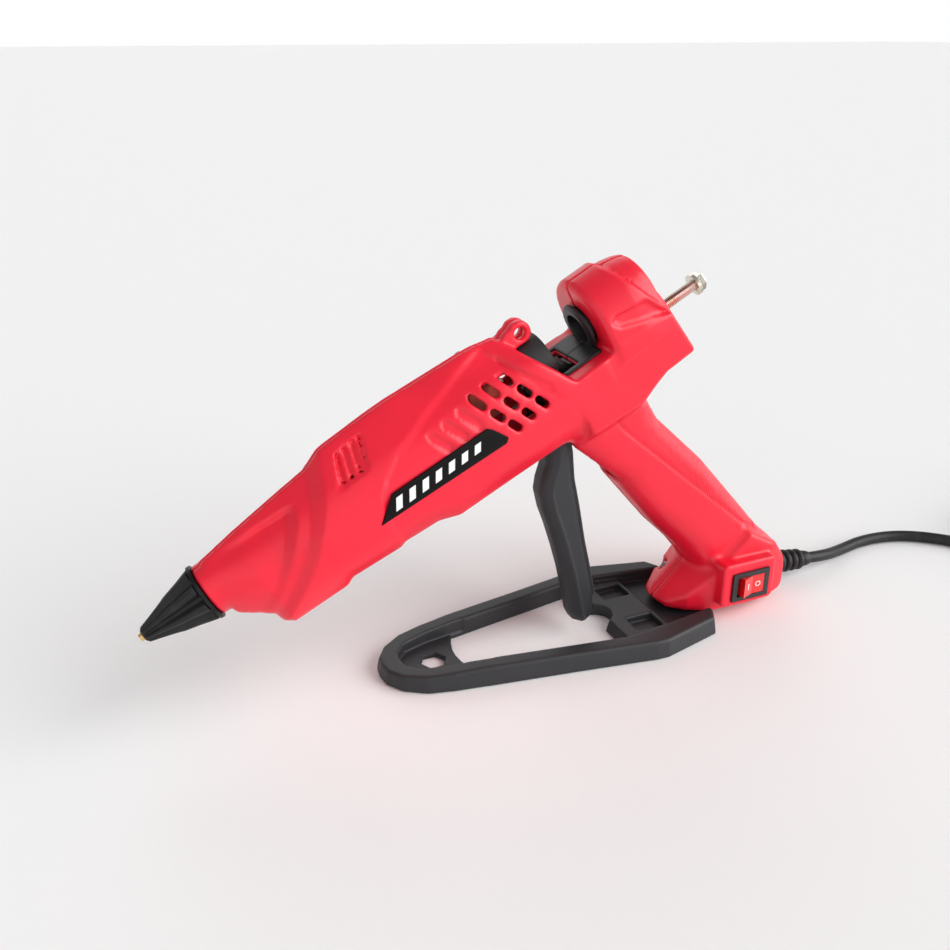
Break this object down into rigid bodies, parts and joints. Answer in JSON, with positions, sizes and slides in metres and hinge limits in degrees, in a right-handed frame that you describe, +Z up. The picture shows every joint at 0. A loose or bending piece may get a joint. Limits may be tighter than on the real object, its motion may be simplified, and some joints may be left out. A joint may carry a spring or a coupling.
{
  "type": "hot glue gun",
  "caption": "Mains hot-melt glue gun nose-down on a clip-off V-shaped stand, with trigger feed, rear adjuster screw, rocker switch and power cord.",
  "frame": {"origin": "middle of the gun and stand's box, at the bottom face of the stand (cord and plug not counted)", "axes": "+X from the nozzle towards the handle's base and cord, +Y to the gun's right side, +Z up"},
  "size_m": [0.5601, 0.1238, 0.1825],
  "materials": {
    "red_plastic": "satin moulded",
    "charcoal_plastic": "fine texture",
    "black_rubber": "matte",
    "black_plastic": "satin",
    "badge_black": "gloss",
    "nickel_steel": "bright plated",
    "dark_steel": "blackened",
    "brass": "turned",
    "cast_aluminium": "cast",
    "ceramic_white": "matte",
    "silicone_red": "matte",
    "switch_red": "gloss",
    "cord_black": "satin"
  },
  "bodies": {
    "housing": {"housing_left": "red_plastic", "housing_right": "red_plastic", "housing_screws": "dark_steel", "badge_left": "badge_black", "badge_right": "badge_black", "nozzle": "brass", "nozzle_boot": "black_rubber", "nose_washer": "dark_steel", "melt_barrel": "cast_aluminium", "heater_cartridge": "nickel_steel", "barrel_rings": "ceramic_white", "thermostat": "nickel_steel", "thermal_fuse": "nickel_steel", "inlet_sleeve": "silicone_red", "sleeve_clamp": "nickel_steel", "terminal_block": "ceramic_white", "heater_leads": "ceramic_white", "trigger_pin": "nickel_steel", "return_spring": "nickel_steel", "rear_bushing": "black_plastic", "adjuster_nut": "brass", "switch_body": "black_plastic", "switch_terminals": "brass", "cord_clamp": "black_plastic", "clamp_screws": "nickel_steel", "switch_leads": "ceramic_white", "strain_relief": "black_rubber", "cord_entry": "cord_black", "power_cord": "cord_black", "cord_coil": "cord_black", "cord_tail": "cord_black", "plug_body": "black_plastic", "plug_blades": "nickel_steel"},
    "trigger": {"trigger": "charcoal_plastic", "trigger_link_pin": "nickel_steel"},
    "links": {"feed_links": "dark_steel", "jaw_link_pin": "nickel_steel"},
    "carriage": {"feed_carriage": "black_plastic", "jaw_pin": "nickel_steel"},
    "jaw": {"clamp_jaw": "dark_steel"},
    "rocker": {"switch_rocker": "switch_red"},
    "adjuster": {"adjuster_washer": "nickel_steel"},
    "screw": {"adjuster_screw": "nickel_steel"},
    "stand": {"stand": "charcoal_plastic"}
  },
  "joints": [
    {"name": "trigger_pull", "type": "hinge", "parent": "housing", "child": "trigger", "pos_m": [0.02074, 0, 0.11076], "axis": [0, -1, 0], "range_deg": [0, 20], "stiffness_Nm_per_rad": 0.6, "springref_deg": -20.05, "deforming": ["return_spring"]},
    {"name": "link_swing", "type": "hinge", "parent": "trigger", "child": "links", "pos_m": [0.01619, 0, 0.12453], "axis": [0, -1, 0], "range_deg": [-21, 1]},
    {"name": "carriage_feed", "type": "slide", "parent": "housing", "child": "carriage", "axis": [-0.8805, 0, -0.4741], "range_m": [-0.0002, 0.00445]},
    {"name": "jaw_bite", "type": "hinge", "parent": "carriage", "child": "jaw", "pos_m": [0.03283, 0, 0.1326], "axis": [0, 1, 0], "range_deg": [-0.5, 5.5]},
    {"name": "switch_rock", "type": "hinge", "parent": "housing", "child": "rocker", "pos_m": [0.12433, -0.0208, 0.0186], "axis": [0, 0, -1], "range_deg": [0, 20]},
    {"name": "adjuster_travel", "type": "slide", "parent": "housing", "child": "adjuster", "axis": [-0.8805, 0, -0.4741], "range_m": [-0.0016, 0.0032]},
    {"name": "adjuster_turn", "type": "hinge", "parent": "adjuster", "child": "screw", "pos_m": [0.09453, 0, 0.16355], "axis": [-0.8805, 0, -0.4741], "range_deg": [-730, 1450]},
    {"name": "stand_release", "type": "slide", "parent": "housing", "child": "stand", "axis": [0, 0, -1], "range_m": [0, 0.045]}
  ],
  "couplings": [
    {"joint": "link_swing", "follows": "trigger_pull", "ratio": -1},
    {"joint": "carriage_feed", "follows": "trigger_pull", "m_per_rad": 0.012176},
    {"joint": "jaw_bite", "follows": "trigger_pull", "ratio": 0.25},
    {"joint": "adjuster_turn", "follows": "adjuster_travel", "rad_per_m": 7854}
  ]
}
